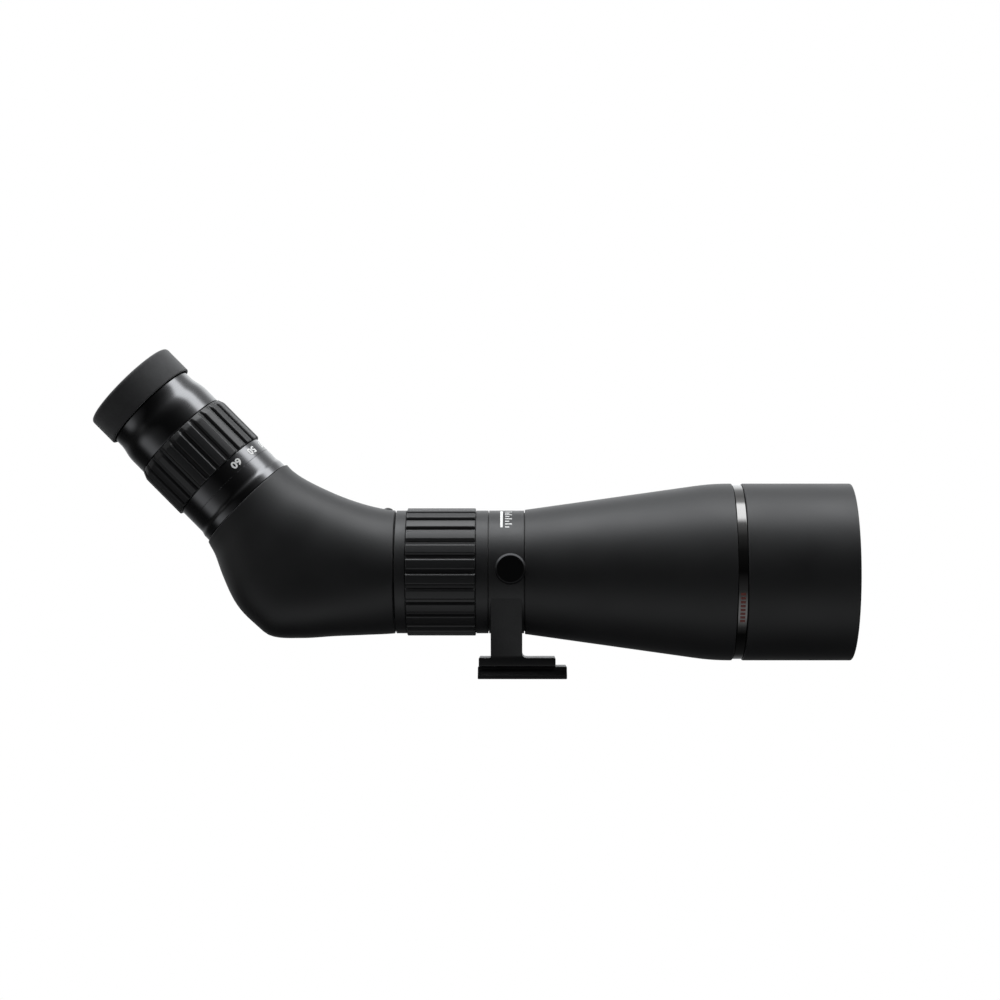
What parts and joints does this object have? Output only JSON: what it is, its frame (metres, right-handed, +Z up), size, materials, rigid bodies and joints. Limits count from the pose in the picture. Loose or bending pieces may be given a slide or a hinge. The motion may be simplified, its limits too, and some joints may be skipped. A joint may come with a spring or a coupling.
{
  "type": "spotting scope",
  "caption": "Angled zoom spotting scope with ribbed focus and zoom rings, sliding hood, twist-up eyecup and rotating tripod collar.",
  "frame": {"origin": "underside of the dovetail foot, directly below the middle of the tripod collar", "axes": "+X along the main optical axis towards the objective, +Z up from the foot through the collar, +Y away from the side with the lock knob"},
  "size_m": [0.4082, 0.098, 0.1773],
  "materials": {
    "body_paint": "soft-touch black paint on a cast alloy shell",
    "collar_paint": "satin black paint on machined alloy",
    "gloss_anodising": "gloss black anodising",
    "inner_anodising": "matt black anodising",
    "grip_rubber": "moulded matt rubber",
    "eyecup_rubber": "soft matt rubber",
    "felt": "black felt",
    "nylon": "natural nylon",
    "screw_steel": "plated steel",
    "brass": "turned brass",
    "coated_glass": "green multicoated glass",
    "cage_aluminium": "milled aluminium"
  },
  "bodies": {
    "tripod_collar": {"collar_ring": "collar_paint", "collar_liner": "nylon", "dovetail_foot": "collar_paint", "foot_screw_rear": "screw_steel", "foot_screw_front": "screw_steel", "tripod_bush": "screw_steel"},
    "optical_body": {"centre_tube": "inner_anodising", "front_shell": "body_paint", "objective_tube": "inner_anodising", "objective_cell": "inner_anodising", "accent_ring": "gloss_anodising", "objective_front_lens": "coated_glass", "objective_spacer": "inner_anodising", "objective_rear_lens": "coated_glass", "objective_retainer": "inner_anodising", "baffle_rear": "inner_anodising", "baffle_middle": "inner_anodising", "baffle_front": "inner_anodising", "prism_housing": "body_paint", "housing_seal": "felt", "sight_bead": "collar_paint", "prism_cage": "cage_aluminium", "erecting_prism": "coated_glass", "prism_clamp": "cage_aluminium", "prism_screw_left": "screw_steel", "prism_screw_right": "screw_steel", "eyepiece_base": "gloss_anodising", "field_stop": "inner_anodising", "eyepiece_barrel": "gloss_anodising", "eye_lens": "coated_glass", "eye_lens_retainer": "inner_anodising"},
    "hood": {"lens_hood": "body_paint", "hood_felt": "felt"},
    "focus_ring": {"focus_ring": "collar_paint", "focus_grip": "grip_rubber"},
    "focus_cell": {"focus_cell": "inner_anodising", "focus_lens": "coated_glass", "focus_retainer": "inner_anodising", "focus_pin": "screw_steel"},
    "zoom_ring": {"zoom_ring": "gloss_anodising", "zoom_grip": "grip_rubber"},
    "zoom_front_cell": {"zoom_front_cell": "inner_anodising", "zoom_front_lens": "coated_glass", "zoom_front_pin": "screw_steel"},
    "zoom_rear_cell": {"zoom_rear_cell": "inner_anodising", "zoom_rear_lens": "coated_glass", "zoom_rear_pin": "screw_steel"},
    "eyecup_cam": {"eyecup_cam_ring": "inner_anodising"},
    "eyecup": {"eyecup_sleeve": "inner_anodising", "eyecup_rubber": "eyecup_rubber"},
    "lock_shoe": {"clamp_shoe": "brass"},
    "lock_knob": {"lock_knob": "gloss_anodising", "lock_stud": "screw_steel"}
  },
  "joints": [
    {"name": "collar_turn", "type": "hinge", "parent": "tripod_collar", "child": "optical_body", "pos_m": [0, 0, 0.057], "axis": [1, 0, 0], "continuous": true},
    {"name": "hood_slide", "type": "slide", "parent": "optical_body", "child": "hood", "axis": [1, 0, 0], "range_m": [0, 0.038]},
    {"name": "focus_turn", "type": "hinge", "parent": "optical_body", "child": "focus_ring", "pos_m": [-0.035, 0, 0.057], "axis": [1, 0, 0], "range_deg": [0, 300]},
    {"name": "focus_travel", "type": "slide", "parent": "optical_body", "child": "focus_cell", "axis": [1, 0, 0], "range_m": [-0.01201, 0]},
    {"name": "zoom_turn", "type": "hinge", "parent": "optical_body", "child": "zoom_ring", "pos_m": [-0.163, 0, 0.1171], "axis": [-0.7071, 0, 0.7071], "range_deg": [-48, 64]},
    {"name": "zoom_front_travel", "type": "slide", "parent": "optical_body", "child": "zoom_front_cell", "axis": [-0.7071, 0, 0.7071], "range_m": [-0.0034, 0.0045]},
    {"name": "zoom_rear_travel", "type": "slide", "parent": "optical_body", "child": "zoom_rear_cell", "axis": [-0.7071, 0, 0.7071], "range_m": [-0.0017, 0.0013]},
    {"name": "eyecup_twist", "type": "hinge", "parent": "optical_body", "child": "eyecup_cam", "pos_m": [-0.19482, 0, 0.14892], "axis": [-0.7071, 0, 0.7071], "range_deg": [0, 100]},
    {"name": "eyecup_lift", "type": "slide", "parent": "eyecup_cam", "child": "eyecup", "axis": [-0.7071, 0, 0.7071], "range_m": [0, 0.00601]},
    {"name": "lock_turn", "type": "hinge", "parent": "tripod_collar", "child": "lock_shoe", "pos_m": [0.0023, -0.045, 0.0585], "axis": [0, -1, 0], "range_deg": [0, 360]},
    {"name": "lock_lift", "type": "slide", "parent": "lock_shoe", "child": "lock_knob", "axis": [0, -1, 0], "range_m": [0, 0.00101]}
  ],
  "couplings": [
    {"joint": "focus_travel", "follows": "focus_turn", "m_per_rad": -0.0022918},
    {"joint": "zoom_front_travel", "follows": "zoom_turn", "m_per_rad": 0.004},
    {"joint": "zoom_rear_travel", "follows": "zoom_turn", "m_per_rad": -0.0015},
    {"joint": "eyecup_lift", "follows": "eyecup_twist", "m_per_rad": 0.0034377},
    {"joint": "lock_lift", "follows": "lock_turn", "m_per_rad": 0.00015915}
  ]
}
